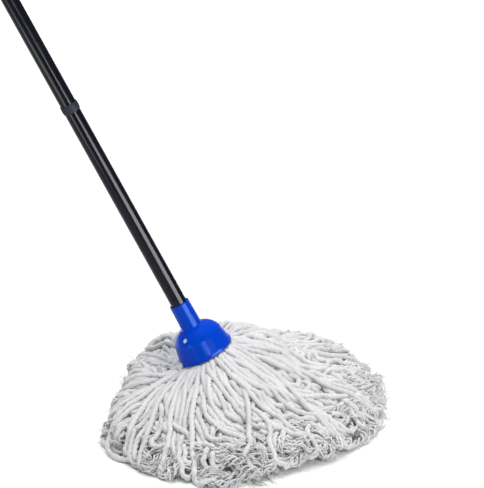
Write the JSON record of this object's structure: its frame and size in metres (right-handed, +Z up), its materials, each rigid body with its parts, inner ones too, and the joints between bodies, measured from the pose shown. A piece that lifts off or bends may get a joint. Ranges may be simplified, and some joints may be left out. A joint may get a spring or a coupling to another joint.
{
  "type": "string mop",
  "caption": "Cotton string mop: splayed yarn head clamped in a domed plastic socket, on a leaning handle of screwed steel tubes with collar rings and a hanging loop.",
  "frame": {"origin": "on the floor, straight below the centre of the bell's rim, about which the handle leans", "axes": "+Z up; the handle leans 28 degrees from the vertical towards -X in the XZ plane; the yarn is dragged out towards +X; -Y is the front"},
  "size_m": [0.9052, 0.4737, 1.3196],
  "materials": {
    "bell_plastic": "glossy moulded blue",
    "clamp_plastic": "plain moulded off-white",
    "cotton_yarn": "loose twisted cotton, fluffy",
    "tube_paint": "gloss black-navy coating on thin steel tube",
    "insert_plastic": "plain moulded dark grey",
    "collar_plastic": "satin slate grey",
    "cap_plastic": "satin black"
  },
  "bodies": {
    "yarn_skirt": {"yarn_core": "cotton_yarn", "yarn_tuft_01": "cotton_yarn", "yarn_tuft_02": "cotton_yarn", "yarn_tuft_03": "cotton_yarn", "yarn_tuft_04": "cotton_yarn", "yarn_tuft_05": "cotton_yarn", "yarn_tuft_06": "cotton_yarn", "yarn_tuft_07": "cotton_yarn", "yarn_tuft_08": "cotton_yarn", "yarn_tuft_09": "cotton_yarn", "yarn_tuft_10": "cotton_yarn", "yarn_tuft_11": "cotton_yarn", "yarn_tuft_12": "cotton_yarn"},
    "head": {"bell_socket": "bell_plastic", "thread_bush": "insert_plastic", "yarn_clamp": "clamp_plastic", "yarn_root": "cotton_yarn"},
    "collar_1": {"collar_ring_1": "collar_plastic"},
    "section_1": {"threaded_tip": "insert_plastic", "tube_1": "tube_paint", "coupling_socket_1": "insert_plastic"},
    "collar_2": {"collar_ring_2": "collar_plastic"},
    "section_2": {"coupling_plug_1": "insert_plastic", "tube_2": "tube_paint", "coupling_socket_2": "insert_plastic"},
    "collar_3": {"collar_ring_3": "collar_plastic"},
    "section_3": {"coupling_plug_2": "insert_plastic", "tube_3": "tube_paint", "coupling_socket_3": "insert_plastic"},
    "hanger": {"hanging_loop": "cap_plastic"},
    "section_4": {"coupling_plug_3": "insert_plastic", "tube_4": "tube_paint", "top_cap": "cap_plastic"}
  },
  "joints": [
    {"name": "handle_lean", "type": "hinge", "parent": "yarn_skirt", "child": "head", "pos_m": [0, 0, 0.087], "axis": [0, -1, 0], "range_deg": [-28, 22]},
    {"name": "head_screw_rise", "type": "slide", "parent": "head", "child": "collar_1", "axis": [-0.4695, 0, 0.8829], "range_m": [0, 0.0231]},
    {"name": "head_screw_turn", "type": "hinge", "parent": "collar_1", "child": "section_1", "pos_m": [-0.02958, 0, 0.14263], "axis": [-0.4695, 0, 0.8829], "range_deg": [0, 1981]},
    {"name": "joint_1_screw_rise", "type": "slide", "parent": "section_1", "child": "collar_2", "axis": [-0.4695, 0, 0.8829], "range_m": [0, 0.018]},
    {"name": "joint_1_screw_turn", "type": "hinge", "parent": "collar_2", "child": "section_2", "pos_m": [-0.17981, 0, 0.42517], "axis": [-0.4695, 0, 0.8829], "range_deg": [0, 2161]},
    {"name": "joint_2_screw_rise", "type": "slide", "parent": "section_2", "child": "collar_3", "axis": [-0.4695, 0, 0.8829], "range_m": [0, 0.018]},
    {"name": "joint_2_screw_turn", "type": "hinge", "parent": "collar_3", "child": "section_3", "pos_m": [-0.33206, 0, 0.71151], "axis": [-0.4695, 0, 0.8829], "range_deg": [0, 2161]},
    {"name": "joint_3_screw_rise", "type": "slide", "parent": "section_3", "child": "hanger", "axis": [-0.4695, 0, 0.8829], "range_m": [0, 0.018]},
    {"name": "joint_3_screw_turn", "type": "hinge", "parent": "hanger", "child": "section_4", "pos_m": [-0.48431, 0, 0.99785], "axis": [-0.4695, 0, 0.8829], "range_deg": [0, 2161]}
  ],
  "couplings": [
    {"joint": "head_screw_turn", "follows": "head_screw_rise", "rad_per_m": 1496},
    {"joint": "joint_1_screw_turn", "follows": "joint_1_screw_rise", "rad_per_m": 2094.4},
    {"joint": "joint_2_screw_turn", "follows": "joint_2_screw_rise", "rad_per_m": 2094.4},
    {"joint": "joint_3_screw_turn", "follows": "joint_3_screw_rise", "rad_per_m": 2094.4}
  ]
}
